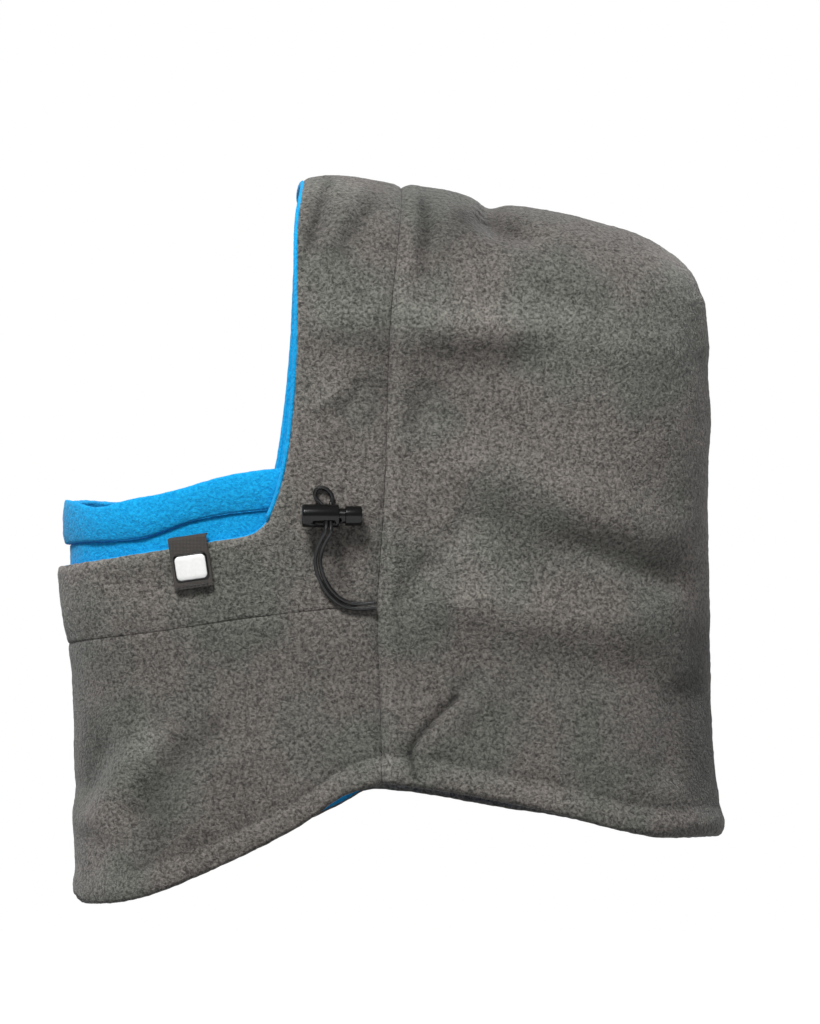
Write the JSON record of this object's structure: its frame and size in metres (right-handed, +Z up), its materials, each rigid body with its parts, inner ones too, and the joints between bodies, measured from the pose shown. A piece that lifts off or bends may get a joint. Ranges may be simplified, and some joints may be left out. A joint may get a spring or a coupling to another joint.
{
  "type": "balaclava",
  "caption": "Two-layer fleece hood with a face opening, a pull-down mouth mask, a long shaped neck and a drawcord with a sprung cord lock.",
  "frame": {"origin": "the middle of the head space, on the centre plane", "axes": "+Z up, -X the way the wearer faces, -Y the wearer's left"},
  "size_m": [0.3597, 0.1782, 0.3928],
  "materials": {
    "outer_fleece": "charcoal grey anti-pill fleece",
    "lining_fleece": "bright blue fleece",
    "mask_fleece": "bright blue fleece",
    "elastic_cord": "black braided elastic cord",
    "lock_plastic": "black moulded plastic",
    "spring_steel": "bright spring wire",
    "label_weave": "dark taupe woven tape",
    "label_rubber": "off-white moulded patch"
  },
  "bodies": {
    "root": {"rear_panel_left": "outer_fleece", "rear_panel_right": "outer_fleece", "face_panel_left": "outer_fleece", "face_panel_right": "outer_fleece", "bib_panel_left": "outer_fleece", "bib_panel_right": "outer_fleece", "lining_rear_left": "lining_fleece", "lining_rear_right": "lining_fleece", "lining_front_left": "lining_fleece", "lining_front_right": "lining_fleece", "face_binding": "lining_fleece", "cord_tunnel": "lining_fleece", "hood_elastic": "elastic_cord", "drawcord": "elastic_cord", "label_tab": "label_weave", "label_patch": "label_rubber"},
    "mask": {"mask_tube": "mask_fleece", "mask_cuff": "mask_fleece"},
    "lock": {"lock_barrel": "lock_plastic", "lock_spring": "spring_steel"},
    "plunger": {"lock_plunger": "lock_plastic"}
  },
  "joints": [
    {"name": "mask_pull", "type": "slide", "parent": "root", "child": "mask", "axis": [-0.117, 0, 0.9931], "range_m": [-0.026, 0.008]},
    {"name": "lock_slide", "type": "slide", "parent": "root", "child": "lock", "axis": [0, -0.766, -0.6428], "range_m": [0, 0.003]},
    {"name": "plunger_press", "type": "slide", "parent": "lock", "child": "plunger", "axis": [-1, 0, 0], "range_m": [0, 0.003], "stiffness_N_per_m": 900, "springref_m": -0.002, "deforming": ["lock_spring"]}
  ]
}
